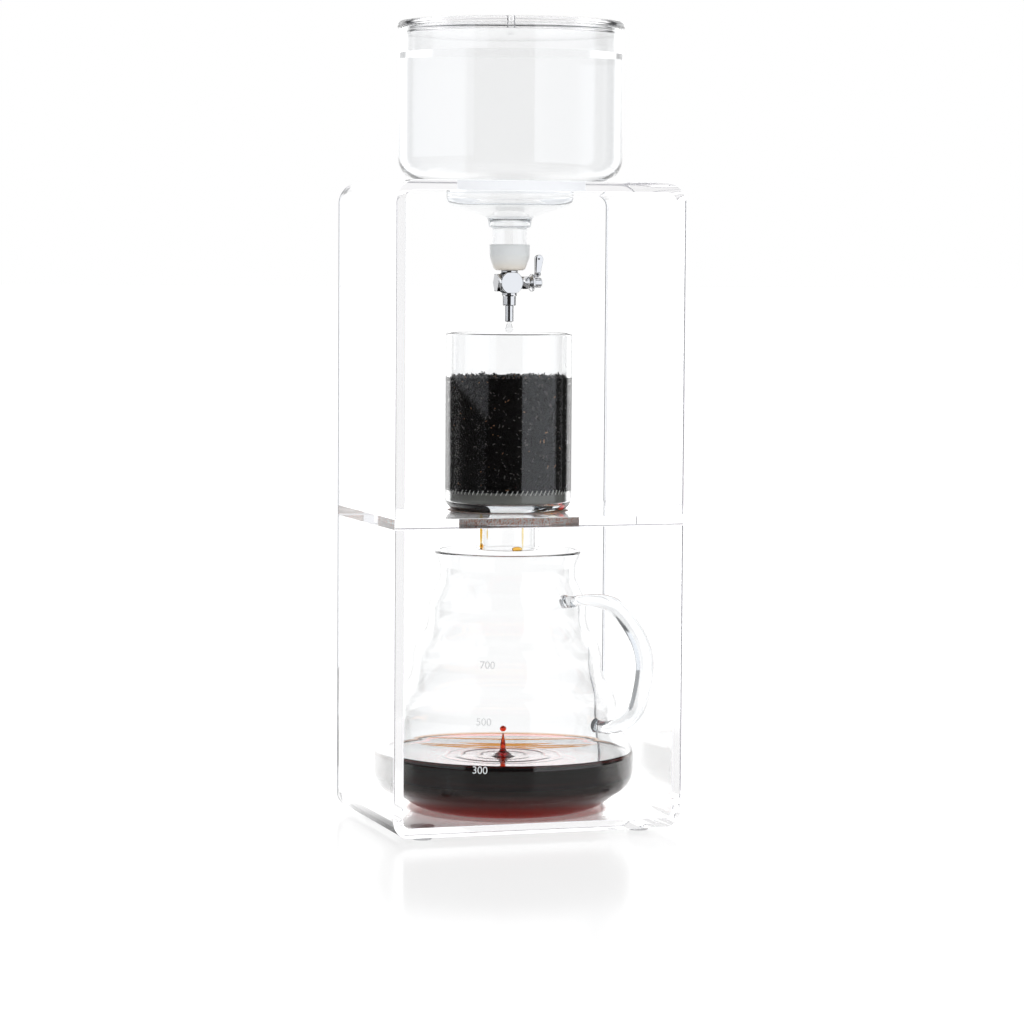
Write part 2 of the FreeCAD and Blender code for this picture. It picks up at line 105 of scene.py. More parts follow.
strainer_r, strainer_wall = 31.6, 1.9
strainer_in = strainer_r - strainer_wall
strainer_height, strainer_floor_t, ring_height, grounds_depth = 88.4, 4.0, 6.0, 57.0
strainer_rim = shelf_top + strainer_height
strainer_floor = shelf_top + strainer_floor_t
outlet_r, outlet_wall = 15.6, 1.8
outlet_in = outlet_r - outlet_wall
slide_gap = 0.5             # between the jug's lip and the strainer's outlet
outlet_low = base_top + jug_height + slide_gap
ring_top = strainer_floor + ring_height
grounds_top = ring_top + grounds_depth

seat_gap = 0.1              # between pieces that lie in one another
contact_gap = 0.04          # air between pieces that only lie on one another
wetting = 0.06              # how far a liquid's surface lies in the glass that it wets

camera_at = Vector((-538.8, -1683.4 + tower_y, 283.5))
camera_yaw, camera_pitch, camera_roll = 0.3109, -0.0718, 0.0066
camera_lens, camera_film = 124.44, 36.0


# ---------------- mesh helpers
def rounded(corners, steps=10, hold=0.35):
    """Points of a closed outline of corners (a, b) or (a, b, radius).

    A point a short hold away from each end of a straight run keeps the shading flat along it.
    """
    runs = []
    count = len(corners)
    for i, corner in enumerate(corners):
        here = Vector(corner[:2])
        radius = corner[2] if len(corner) > 2 else 0
        if not radius:
            runs.append([here])
            continue
        before = (Vector(corners[i - 1][:2]) - here).normalized()
        after = (Vector(corners[(i + 1) % count][:2]) - here).normalized()
        half = before.angle(after) / 2
        middle = here + (before + after).normalized() * (radius / math.sin(half))
        start = here + before * (radius / math.tan(half)) - middle
        turn = start.angle_signed(here + after * (radius / math.tan(half)) - middle)
        arc = []
        for k in range(steps + 1):
            swung = start.copy()
            swung.rotate(Matrix.Rotation(-turn * k / steps, 2))
            arc.append(middle + swung)
        runs.append(arc)
    points = []
    for i, run in enumerate(runs):
        points += run
        following = runs[(i + 1) % count][0]
        gap = following - run[-1]
        if gap.length > 4 * hold:
            step = gap.normalized() * hold
            points += [run[-1] + step, following - step]
    return points


def placed(name, bm):
    """A bmesh in millimetres about the tower's axis becomes an object in the part's frame."""
    bmesh.ops.translate(bm, verts=bm.verts, vec=(0, tower_y, 0))
    bmesh.ops.scale(bm, verts=bm.verts, vec=(MM, MM, MM))
    mesh = bpy.data.meshes.new(name)
    bm.to_mesh(mesh)
    bm.free()
    piece = bpy.data.objects.new(name, mesh)
    bpy.context.scene.collection.objects.link(piece)
    return piece


def finished(name, bm, body, material, nodes=(), smooth=True, sharp=SMOOTH_ANGLE):
    """A bmesh becomes a piece of the object, which rides on a body and replaces CAD nodes."""
    bmesh.ops.recalc_face_normals(bm, faces=bm.faces)
    if smooth:
        shade(bm, sharp)
    piece = placed(name, bm)
    for finish in material if isinstance(material, tuple) else (material,):
        piece.data.materials.append(finish)
    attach(piece, body)
    if nodes:
        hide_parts(*nodes)
    return piece


def shade(bm, sharp):
    """Smooth faces, with crisp edges where they meet at more than an angle."""
    for face in bm.faces:
        face.smooth = True
    for edge in bm.edges:
        edge.smooth = len(edge.link_faces) != 2 or edge.calc_face_angle(0) <= sharp


def spun(bm, outline, steps=160, cent=(0, 0, 0), axis=(0, 0, 1), place=None, closed=True):
    """Turns an outline of (radius, height) points about an axis; place turns a pair into a point."""
    place = place or (lambda r, z: (r, 0, z))
    earlier = set(bm.verts)
    verts = [bm.verts.new(place(p[0], p[1])) for p in outline]
    edges = [bm.edges.new(pair) for pair in zip(verts, verts[1:])]
    if closed:
        edges.append(bm.edges.new((verts[-1], verts[0])))
    bmesh.ops.spin(bm, geom=verts + edges, cent=cent, axis=axis, angle=2 * math.pi, steps=steps,
                   use_merge=True)
    bmesh.ops.remove_doubles(bm, verts=[v for v in bm.verts if v not in earlier], dist=1e-3)
    bmesh.ops.delete(bm, geom=[e for e in bm.edges if not e.link_faces], context="EDGES")
    return bm


def turned(name, outline, body, material, nodes=(), steps=160, closed=True, sharp=SMOOTH_ANGLE):
    """A round piece about the tower's axis."""
    bm = spun(bmesh.new(), outline, steps, closed=closed)
    return finished(name, bm, body, material, nodes, sharp=sharp)


def everything(bm):
    """All parts of a bmesh, for a cut through the whole of it."""
    return bm.verts[:] + bm.edges[:] + bm.faces[:]


def drawn_out(bm, points, depth):
    """A face through points on one upright plane, drawn out to the back."""
    face = bm.faces.new([bm.verts.new(point) for point in points])
    made = bmesh.ops.extrude_face_region(bm, geom=[face])
    moved = [v for v in made["geom"] if isinstance(v, bmesh.types.BMVert)]
    bmesh.ops.translate(bm, verts=moved, vec=(0, depth, 0))


def softened(bm, edges, width, segments=2):
    """Breaks edges with a small bevel, and returns its faces."""
    made = bmesh.ops.bevel(bm, geom=edges, offset=width, segments=segments, profile=0.5, affect="EDGES",
                           clamp_overlap=True, material=-1)
    return made["faces"]


def evaluated_mesh(piece):
    """The mesh that a piece's modifiers or its text give."""
    bpy.context.view_layer.update()
    return bpy.data.meshes.new_from_object(piece.evaluated_get(bpy.context.evaluated_depsgraph_get()))


def facing(turn):
    """The direction that lies turn degrees to the right of the tower's lit front."""
    turn = math.radians(turn)
    right = Vector((math.cos(camera_yaw), -math.sin(camera_yaw), 0))
    front = Vector((-math.sin(camera_yaw), -math.cos(camera_yaw), 0))
    return front * math.cos(turn) + right * math.sin(turn)


# ---------------- materials
def add_node(tree, kind, inputs=(), **settings):
    """Makes a shader node and gives its outputs."""
    made = tree.nodes.new(kind)
    for key, value in settings.items():
        setattr(made, key, value)
    for key, value in dict(inputs).items():
        feed(tree, made.inputs[key], value)
    return made.outputs


def feed(tree, entry, value):
    """Sets an input to a plain value, or links it to another node's output."""
    if isinstance(value, bpy.types.NodeSocket):
        tree.links.new(value, entry)
    else:
        entry.default_value = value


def surface(material):
    """The inputs of a material's shader."""
    return material.node_tree.nodes["Principled BSDF"].inputs


def principled(name, color, roughness=0.0, **inputs):
    """A material whose further inputs are named with underscores for spaces."""
    material = bpy.data.materials.new(name)
    material.use_nodes = True
    shader = surface(material)
    shader["Base Color"].default_value = (*color, 1.0)
    shader["Roughness"].default_value = roughness
    for key, value in inputs.items():
        shader[key.replace("_", " ")].default_value = value
    return material


def clear(name, ior, tint, density, color=(1, 1, 1), **inputs):
    """A clear solid or liquid that tints light by its thickness."""
    material = principled(name, color, 0.0, Transmission_Weight=1.0, IOR=ior, **inputs)
    tree = material.node_tree
    volume = add_node(tree, "ShaderNodeVolumeAbsorption", {"Color": (*tint, 1.0), "Density": density})
    feed(tree, tree.nodes["Material Output"].inputs["Volume"], volume["Volume"])
    return material


acrylic_ior, glass_ior, coffee_ior = 1.49, 1.47, 1.34
glass_tint, glass_density = (0.80, 0.83, 0.85), 42.0
edge_glow = (0.95, 0.97, 1.0, 1.0)

acrylic = clear("acrylic", acrylic_ior, (0.92, 0.915, 0.92), 12.0)
# Painted glow: the sheets' rim bevels give off a faint light of their own, so they read paler.
glowing_sheet_edge = principled("glowing_sheet_edge", (0.88, 0.88, 0.89), 0.3, Transmission_Weight=0.5, IOR=acrylic_ior,
                        Emission_Color=(0.95, 0.96, 1.0, 1.0), Emission_Strength=0.3)
# Painted glow: the walls of the holes give off light of their own, standing in for light that the acrylic
# gathers at its cut edges.
glowing_cut_edge = principled("glowing_cut_edge", (0.80, 0.81, 0.83), 0.5, IOR=acrylic_ior, Emission_Color=edge_glow,
                      Emission_Strength=0.8)
# Painted shade: a dark finish for the shade band along the sheets' back rims.
painted_shade_line = principled("painted_shade_line", (0.10, 0.11, 0.14), 0.4)
bumper_rubber = principled("bumper_rubber", (0.92, 0.93, 0.94), 0.3, Transmission_Weight=0.4, IOR=1.45)
clear_glass = clear("clear_glass", glass_ior, glass_tint, glass_density)
# Painted glow: the handle's glass gives off a faint light of its own.
handle_glass = clear("handle_glass", glass_ior, glass_tint, glass_density, Emission_Color=edge_glow,
                     Emission_Strength=0.03)
water = principled("water", (1, 1, 1), 0.0, Transmission_Weight=1.0, IOR=1.33)
falling_water = clear("falling_water", 1.5, (0.6, 0.62, 0.65), 60.0)
silicone = principled("silicone", (0.9, 0.9, 0.9), 0.4, IOR=1.41, Sheen_Weight=0.35, Sheen_Roughness=0.4)
chrome = principled("chrome", (0.88, 0.88, 0.89), 0.05, Metallic=1.0,
                    Specular_Tint=(0.04, 0.045, 0.05, 1.0))
satin_steel = principled("satin_steel", (0.42, 0.42, 0.40), 0.38, Metallic=1.0)
ring_steel = principled("ring_steel", (0.30, 0.305, 0.28), 0.5, Metallic=0.2)
# Painted glint: a pale finish for the bright ticks on the filter ring.
painted_glint_ticks = principled("painted_glint_ticks", (0.88, 0.88, 0.86), 0.35)
brass = principled("brass", (0.80, 0.62, 0.30), 0.22, Metallic=1.0)
black_rubber = principled("black_rubber", (0.02, 0.02, 0.02), 0.5)
print_ink = principled("print_ink", (0.76, 0.77, 0.78), 0.6)
ground_coffee = principled("ground_coffee", (0.004, 0.003, 0.0025), 0.45, Specular_IOR_Level=0.12)
pale_grain = principled("pale_grain", (0.34, 0.17, 0.08), 0.5)
# Grey grains: partly the grounds' own paler tone, partly painted glints of light on wet grains.
ash_grain_and_glint = principled("ash_grain_and_glint", (0.10, 0.092, 0.088), 0.5)
coffee = clear("coffee", coffee_ior, (0.965, 0.68, 0.40), 1000.0, (1.0, 0.96, 0.93))
coffee_drop = clear("coffee_drop", coffee_ior, (0.93, 0.30, 0.05), 1500.0, (1.0, 0.97, 0.94))
amber_drop = clear("amber_drop", coffee_ior, (0.98, 0.77, 0.0), 1800.0, (1.0, 0.98, 0.96))
# Painted light: orange streaks that glow on the coffee's surface.
painted_light_streak = principled("painted_light_streak", (0.95, 0.40, 0.10), 1.0, Specular_IOR_Level=0.0,
                           Emission_Color=(0.95, 0.50, 0.18, 1.0), Emission_Strength=0.25)
stained_film = principled("stained_film", (0.5, 0.3, 0.25), 0.5)
# Painted light: a glowing red lining for light that comes through the coffee.
red_glow = principled("red_glow", (0.1, 0.02, 0.02), 0.6, Specular_IOR_Level=0.0)
# Painted light: a warm red finish for the pool of light on the base plate.
warm_light = principled("warm_light", (0.92, 0.16, 0.08), 1.0, Specular_IOR_Level=0.0)


def own_place(tree):
    """A point's place on its piece."""
    return add_node(tree, "ShaderNodeTexCoord")["Object"]


def colour_ramp(material, factor, stops):
    """Colours a piece by a factor; a stop is a place between 0 and 1 and a colour."""
    tree = material.node_tree
    ramp = tree.nodes.new("ShaderNodeValToRGB")
    elements = ramp.color_ramp.elements
    while len(elements) < len(stops):
        elements.new(0.5)
    for element, (place, color) in zip(elements, stops):
        element.position = place
        element.color = (*color, 1.0)
    feed(tree, ramp.inputs["Fac"], factor)
    feed(tree, surface(material)["Base Color"], ramp.outputs["Color"])
    return ramp.outputs["Color"]


def graded(material, *stops, glow=0.0):
    """Colours by height; a stop is a height in millimetres and a colour."""
    tree = material.node_tree
    low, high = stops[0][0], stops[-1][0]
    height = add_node(tree, "ShaderNodeSeparateXYZ", {0: own_place(tree)})[2]
    ends = {"Value": height, "From Min": low * MM, "From Max": high * MM}
    shares = [((z - low) / (high - low), color) for z, color in stops]
    ramp = colour_ramp(material, add_node(tree, "ShaderNodeMapRange", ends)["Result"], shares)
    if glow:
        feed(tree, surface(material)["Emission Color"], ramp)
        feed(tree, surface(material)["Emission Strength"], glow)


def speckled(material, size, *stops):
    """Fine grains of a size in millimetres; a stop is a place between 0 and 1 and a colour."""
    tree = material.node_tree
    inputs = {"Vector": own_place(tree), "Scale": 1 / (size * MM), "Detail": 4.0}
    colour_ramp(material, add_node(tree, "ShaderNodeTexNoise", inputs)["Fac"], stops)


graded(silicone, (sleeve_low, (0.98, 0.90, 0.79)), (sleeve_low + 3.5, (0.96, 0.95, 0.91)),
       (sleeve_low + 8.0, (0.94, 0.97, 0.98)))
# Painted light: the lining is bright red and glows at the bottom, and goes dark higher up.
graded(red_glow, (base_top + 2.2, (0.80, 0.05, 0.03)), (base_top + 4.5, (0.36, 0.022, 0.016)),
       (base_top + 9.0, (0.12, 0.011, 0.009)), (base_top + 15.0, (0.012, 0.006, 0.006)), glow=0.2)
speckled(stained_film, 0.9, (0.30, (0.30, 0.20, 0.17)), (0.42, (0.86, 0.42, 0.28)),
         (0.50, (0.80, 0.72, 0.70)), (0.60, (0.95, 0.93, 0.92)), (0.74, (0.95, 0.52, 0.32)))

# ---------------- stand
# Besides the clear acrylic, the sheets have a painted glow on their rims and in their holes, and a painted
# shade band on their back rims.
sheet_finishes = (acrylic, glowing_sheet_edge, glowing_cut_edge, painted_shade_line)
RIM, CUT, SHADE_LINE = 1, 2, 3    # places of the sheets' further finishes


def sheet_piece(name, node, bm, hole_r=0, hole_z=0):
    """Finishes a sheet of the stand, with a round hole where it has one."""
    bevel_rims(bm)
    piece = finished(name, bm, "stand", sheet_finishes, (node,), sharp=CRISP_ANGLE)
    if hole_r:
        drill(piece, hole_r, hole_z)


def bent_sheet(name, node, open_z, closed_z, bend_r, hole_r=0):
    """A sheet bent twice, from its open ends to its closed side."""
    side = 1 if closed_z > open_z else -1
    half = stand_width / 2
    inner = half - sheet_t
    inner_z = closed_z - side * sheet_t
    inner_bend_r = bend_r - sheet_t
    corners = [(-half, open_z), (-half, closed_z, bend_r), (half, closed_z, bend_r), (half, open_z),
               (inner, open_z), (inner, inner_z, inner_bend_r), (-inner, inner_z, inner_bend_r),
               (-inner, open_z)]
    bm = bmesh.new()
    drawn_out(bm, [(p[0], -stand_depth / 2, p[1]) for p in rounded(corners, 14)], stand_depth)
    sheet_piece(name, node, bm, hole_r, closed_z)


def bevel_rims(bm):
    """Breaks a sheet's edges at the front and back, and paints a dark shade band along the back rim of faces
    that look left.
    """
    front_width, back_width, shade_line_width = 0.25, 0.45, 1.5
    half = stand_depth / 2 - 1e-4
    for side, width in ((-1, front_width), (1, back_width)):
        rims = [e for e in bm.edges if all(v.co.y * side > half for v in e.verts)]
        # The front and back bevels get the painted glow.
        for face in softened(bm, rims, width):
            face.material_index = RIM
    # Behind this plane, faces that look left are painted dark as shade.
    line = half - shade_line_width
    bmesh.ops.bisect_plane(bm, geom=everything(bm), plane_co=(0, line, 0), plane_no=(0, 1, 0))
    bmesh.ops.recalc_face_normals(bm, faces=bm.faces)
    for face in bm.faces:
        upright = face.normal.x < -0.3 and abs(face.normal.y) < 0.1
        if face.calc_center_median().y > line and upright:
            face.material_index = SHADE_LINE


def drill(piece, radius, z):
    """Cuts a round hole with polished edges through a level sheet; the hole's wall gets a painted glow."""
    bm = bmesh.new()
    bmesh.ops.create_cone(bm, cap_ends=True, segments=160, radius1=radius, radius2=radius,
                          depth=3 * sheet_t, matrix=Matrix.Translation((0, 0, z)))
    tool = placed("drill", bm)
    cut = piece.modifiers.new("hole", "BOOLEAN")
    cut.object = tool
    cut.solver = "EXACT"
    result = evaluated_mesh(piece)
    piece.modifiers.clear()
    piece.data = result
    bpy.data.objects.remove(tool)
    bm = bmesh.new()
    bm.from_mesh(result)
    for face in bm.faces:
        middle = face.calc_center_median() / MM
        if abs(face.normal.z) < 0.1 and math.hypot(middle.x, middle.y - tower_y) < radius + 0.1:
            face.material_index = CUT
    shade(bm, CRISP_ANGLE)
    bm.to_mesh(result)
    bm.free()


def shelf_plate():
    """The flat sheet between the two bent ones."""
    bm = bmesh.new()
    bmesh.ops.create_cube(bm, size=1.0)
    bmesh.ops.scale(bm, verts=bm.verts, vec=(stand_width, stand_depth, sheet_t))
    bmesh.ops.translate(bm, verts=bm.verts, vec=(0, 0, shelf_low + sheet_t / 2))
    sheet_piece("shelf_plate", "shelf", bm, outlet_hole_r, shelf_low)


def stand():
    """Two bent sheets with the shelf between them."""
    bent_sheet("upper_sheet", "upper_frame", shelf_top + contact_gap, stand_top, top_bend_r, tank_hole_r)
    bent_sheet("lower_sheet", "lower_frame", shelf_low - contact_gap, foot_h, base_bend_r)
    shelf_plate()


# ---------------- water tank
def tank_cavity(out):
    """Corners of the tank's inside, moved into the glass by out."""
    narrow = neck_r - neck_wall + out
    throat = throat_r - tank_wall + out
    return [(narrow, neck_low), (narrow, funnel_low + tank_wall - out, 3.0),
            (throat, throat_low + tank_wall - out, 3.5), (throat, tank_floor - out, 2.5),
            (tank_r - tank_wall + out, tank_floor - out, 9.5)]


def water_tank():
    """The tank with its throat, funnel and neck in one glass, and the water in it."""
    low = stand_top + contact_gap
    outside = [(neck_r, neck_low, 0.5), (neck_r, collar_low, 0.8), (collar_r, collar_low, 1.2),
               (collar_r + collar_flare, funnel_low, 2.5), (throat_r, throat_low, 6.0),
               (throat_r, low), (tank_r, low, 12.0), (tank_r, tank_rim, rim_round)]
    inside = [(tank_r - tank_wall, tank_rim, rim_round), *tank_cavity(0)[::-1]]
    turned("tank", rounded(outside + inside), "tank", clear_glass, ("water_tank",))
    cavity = tank_cavity(wetting)
    beside_tube, above_tube = 3.3, neck_low + 3.6
    filled = [(0, above_tube), (beside_tube, above_tube), (beside_tube, neck_low), *cavity,
              (cavity[-1][0], water_level), (0, water_level)]
    turned("tank_fill", rounded(filled), "tank", water, ("tank_water",), closed=False)


def tank_lid():
    """A flat lid with a step inside the tank and an air hole."""
    lid_t, overhang, step_depth, step_gap, air_hole_r = 3.0, 0.8, 3.0, 0.6, 1.5
    step_r = tank_r - tank_wall - step_gap
    low = tank_rim + contact_gap
    top = low + lid_t - contact_gap
    corners = [(air_hole_r, low - step_depth), (step_r, low - step_depth, 0.6), (step_r, low),
               (tank_r + overhang, low, 0.6), (tank_r + overhang, top, 1.0), (air_hole_r, top, 0.5)]
    turned("lid", rounded(corners, 6), "lid", acrylic, ("tank_lid",))


def sleeve():
    """The silicone sleeve between the neck and the valve."""
    tube_bore, neck_bore = inlet_tube_r + seat_gap, neck_r + seat_gap
    top, step = neck_low + sleeve_lap, neck_low - seat_gap
    corners = [(tube_bore, sleeve_low), (7.6, sleeve_low, 2.2), (9.85, sleeve_low + 6.4, 4.0),
               (sleeve_r, top, 0.5), (neck_bore, top, 0.4), (neck_bore, step), (tube_bore, step)]
    turned("sleeve", rounded(corners, 8), "tank", silicone, ("neck_sleeve",), steps=96)


# ---------------- drip valve
def along_x(bm, outline, steps=64):
    """Turns an outline of (place along the stem, radius) points about the valve's stem."""
    return spun(bm, outline, steps, cent=(0, 0, valve_z), axis=(1, 0, 0),
                place=lambda x, r: (x, 0, valve_z + r), closed=False)


def nut(bm, flats, start, end, bevel=0.35):
    """A hexagonal nut about the stem, with flats above and below and softened edges."""
    corner = flats / math.sqrt(3)
    rings = []
    for x in (start, end):
        turns = [math.radians(60 * i) for i in range(6)]
        rings.append([bm.verts.new((x, corner * math.cos(turn), valve_z + corner * math.sin(turn)))
                      for turn in turns])
    faces = [bm.faces.new(rings[0]), bm.faces.new(rings[1][::-1])]
    for i in range(6):
        after = (i + 1) % 6
        faces.append(bm.faces.new((rings[0][i], rings[1][i], rings[1][after], rings[0][after])))
    softened(bm, list({edge for face in faces for edge in face.edges}), bevel)


def cut_flat(bm, place, normal):
    """Cuts away what lies beyond a plane and closes the cut."""
    cut = bmesh.ops.bisect_plane(bm, geom=everything(bm), plane_co=place, plane_no=normal,
                                 clear_outer=True)
    edges = [e for e in cut["geom_cut"] if isinstance(e, bmesh.types.BMEdge)]
    bmesh.ops.contextual_create(bm, geom=edges)


def valve_drum():
    """A short drum, flat above, below and on its left, with a boss for each nut."""
    cap_seat, cap_boss_r, gland_seat, gland_boss_r, boss_root, bevel = 5.2, 4.1, 6.2, 3.1, 3.0, 0.45
    half = drum_half_depth
    profile = rounded([(0, -half), (drum_r, -half, bevel), (drum_r, half, bevel), (0, half)], 4)
    bm = spun(bmesh.new(), profile, 128, cent=(0, 0, valve_z), axis=(0, 1, 0),
              place=lambda r, y: (r, y, valve_z), closed=False)
    cut_flat(bm, (0, 0, drum_top), (0, 0, 1))
    cut_flat(bm, (0, 0, drum_low), (0, 0, -1))
    cut_flat(bm, (-cap_seat, 0, valve_z), (-1, 0, 0))
    along_x(bm, [(-cap_seat, 0), (-cap_seat, cap_boss_r), (-boss_root, cap_boss_r), (-boss_root, 0)])
    along_x(bm, [(boss_root, 0), (boss_root, gland_boss_r), (gland_seat, gland_boss_r), (gland_seat, 0)])
    finished("valve_drum", bm, "tank", chrome, ("valve_body",))


def inlet():
    """The tube in the sleeve, with its flange, spigot and barbs."""
    barb_step, barb_count = 0.35, 3
    shank_r = inlet_tube_r - barb_step
    flange_top, top = sleeve_low - 0.05, sleeve_low + inlet_rise
    corners = [(flow_r, drum_top - spigot_length), (spigot_r, drum_top - spigot_length),
               (spigot_r, drum_top), (inlet_flange_r, drum_top, 0.25), (inlet_flange_r, flange_top, 0.25),
               (shank_r, flange_top)]
    for i in range(1, barb_count + 1):
        edge = sleeve_low + i * inlet_rise / (barb_count + 1)
        corners += [(shank_r, edge - 0.2), (inlet_tube_r, edge - 0.1), (shank_r, edge + 2.0)]
    corners += [(shank_r, top, 0.3), (flow_r, top)]
    turned("inlet", rounded(corners, 4, 0.15), "tank", chrome, ("inlet_tube",), steps=64)


def nozzle():
    """The nozzle with its collar and spigot, and the thin tip in its socket."""
    collar_end = drum_low - nozzle_collar_h
    socket_r, socket_top = tip_r + seat_gap, nozzle_low + tip_socket + seat_gap
    corners = [(flow_r, drum_low + spigot_length), (spigot_r, drum_low + spigot_length),
               (spigot_r, drum_low), (nozzle_collar_r, drum_low, 0.25),
               (nozzle_collar_r, collar_end + 0.5, 0.3), (nozzle_r, collar_end),
               (nozzle_r, nozzle_low, 0.5), (socket_r, nozzle_low, 0.1), (socket_r, socket_top),
               (flow_r, socket_top)]
    turned("nozzle", rounded(corners, 6, 0.15), "tank", chrome, ("drip_nozzle",), steps=96)
    tip_top = nozzle_low + tip_socket
    corners = [(tip_bore_r, tip_low, 0.2), (tip_r, tip_low, 0.4), (tip_r, tip_top), (tip_bore_r, tip_top)]
    turned("tip", rounded(corners, 6, 0.15), "tank", chrome, ("drip_tip",), steps=96)


def nuts():
    """The end cap with its thread on the left of the drum, and the gland nut on its right."""
    bm = bmesh.new()
    nut(bm, 8.6, -7.2, -5.25)
    thread_r, thread_start, thread_end = 2.55, -5.3, -3.9
    along_x(bm, [(thread_start, 0), (thread_start, thread_r), (thread_end, thread_r), (thread_end, 0)])
    finished("cap_nut", bm, "tank", chrome, ("end_cap",), sharp=0.3)
    bm = bmesh.new()
    nut(bm, 6.2, 6.25, 9.8)
    finished("gland", bm, "tank", chrome, ("gland_nut",), sharp=0.3)


def lever_hub():
    """The round hub on the stem, with its flange."""
    start, flange_end, end, flange_r, hub_r = 10.1, 12.6, 16.5, 4.4, 2.5
    outline = [(start, 0), (start, 3.0), (start + 1.3, flange_r, 0.3), (flange_end, flange_r - 0.3, 0.4),
               (flange_end, hub_r, 0.2), (end, hub_r, 0.5), (end, 0)]
    bm = along_x(bmesh.new(), rounded(outline, 5, 0.1), 96)
    finished("hub", bm, "lever", chrome, ("lever_hub",), sharp=0.5)


def lever_arm():
    """The flat lever, wider at its round tip, on a ball foot, with a dark eye at each end."""
    foot = Vector((14.6, valve_z + 4.35))
    tip = foot + Vector((0.7, 7.55))
    foot_half, foot_r, round_r, half_t = 1.3, 1.65, 2.1, 1.15
    way = (tip - foot).normalized()
    side = Vector((way.y, -way.x))
    outline = [foot - side * foot_half, foot + side * foot_half]
    for k in range(17):
        turn = math.pi * k / 16
        outline.append(tip + side * (round_r * math.cos(turn)) + way * (round_r * math.sin(turn)))
    bm = bmesh.new()
    drawn_out(bm, [(p.x, -half_t, p.y) for p in outline], 2 * half_t)
    rims = [e for e in bm.edges if e.verts[0].co.y * e.verts[1].co.y > 0]
    softened(bm, rims, 0.35, 3)
    bmesh.ops.create_uvsphere(bm, u_segments=48, v_segments=24, radius=foot_r,
                              matrix=Matrix.Translation((foot.x, 0, foot.y)))
    finished("arm", bm, "lever", chrome, ("lever_arm",), sharp=0.6)
    bm = bmesh.new()
    eye_r, eye_t, sunk = 0.5, 0.2, 0.08
    for place, depth in ((foot, foot_r - 0.03), (tip - side * 0.3, half_t)):
        middle = Matrix.Translation((place.x, sunk - depth, place.y))
        bmesh.ops.create_cone(bm, cap_ends=True, segments=24, radius1=eye_r, radius2=eye_r, depth=eye_t,
                              matrix=middle @ Matrix.Rotation(math.pi / 2, 4, "X"))
    finished("eyes", bm, "lever", black_rubber)


def hanging_drop():
    """A drop of water about to fall from the tip."""
    shape = [(0, 0.2), (1.0, 0.2), (1.05, -0.1), (1.1, -0.7), (1.3, -1.5), (1.65, -2.4), (1.95, -3.3),
             (2.0, -4.0), (1.75, -4.7), (1.15, -5.2), (0.5, -5.42), (0, -5.45)]
    bm = spun(bmesh.new(), [(r, tip_low + z) for r, z in shape], 48, closed=False)
    finished("hanging_drop", bm, "tank", falling_water, sharp=ROUND_SHARP)


# ---------------- strainer
def strainer():
    """The strainer glass with its outlet neck."""
    low = shelf_top + contact_gap
    corners = [(outlet_r, outlet_low, 0.8), (outlet_r, low), (strainer_r, low, 6.0),
               (strainer_r, strainer_rim, rim_round), (strainer_in, strainer_rim, rim_round),
               (strainer_in, strainer_floor, 1.5), (outlet_in, strainer_floor, 1.5),
               (outlet_in, outlet_low, 0.8)]
    turned("strainer", rounded(corners), "strainer", clear_glass, ("strainer_glass",))


clump_height, clump_scale = 1.7, 0.45
bed_low = ring_top + 0.1    # the bed starts just above the filter ring


def clumped(x, y):
    """How far the bed's clumps rise or sink at a place."""
    return clump_height * noise.noise(Vector((x, y, 0)) * clump_scale)


def wall_push(turn):
    """How far the bed lies off the glass or is pressed into it, by degrees from the lit front."""
    if 8 < turn < 52:
        return -0.5, 0.06
    return (-0.4, 0.3) if abs(turn) < 60 else (-0.1, 0.4)


def bed(rng):
    """The wet bed of ground coffee, clumped on top and rough against the glass."""
    rows, rings, top = 110, 30, grounds_top
    mesh_r, mesh_top = 25.6, strainer_floor + 4.2
    side = [(strainer_in, bed_low + (top - bed_low) * i / rows) for i in range(rows + 1)]
    cover = [(strainer_in * (1 - i / rings), top) for i in range(1, rings + 1)]
    bm = spun(bmesh.new(), [(0, mesh_top), (mesh_r, mesh_top), (mesh_r, bed_low), *side, *cover], 380,
              closed=False)
    for v in bm.verts:
        reach = math.hypot(v.co.x, v.co.y)
        if v.co.z > top - 0.1 and reach > 1:
            v.co.z += clumped(v.co.x, v.co.y) - 1.4 + rng.uniform(-0.5, 0.4)
        if reach > strainer_in - 0.1 and v.co.z > bed_low + 0.1:
            turn = math.degrees(math.atan2(v.co.x, -v.co.y)) + math.degrees(camera_yaw)
            push = rng.uniform(*wall_push(turn))
            v.co.x *= 1 + push / reach
            v.co.y *= 1 + push / reach
    finished("bed", bm, "strainer", ground_coffee, ("coffee_grounds",), sharp=0.2)


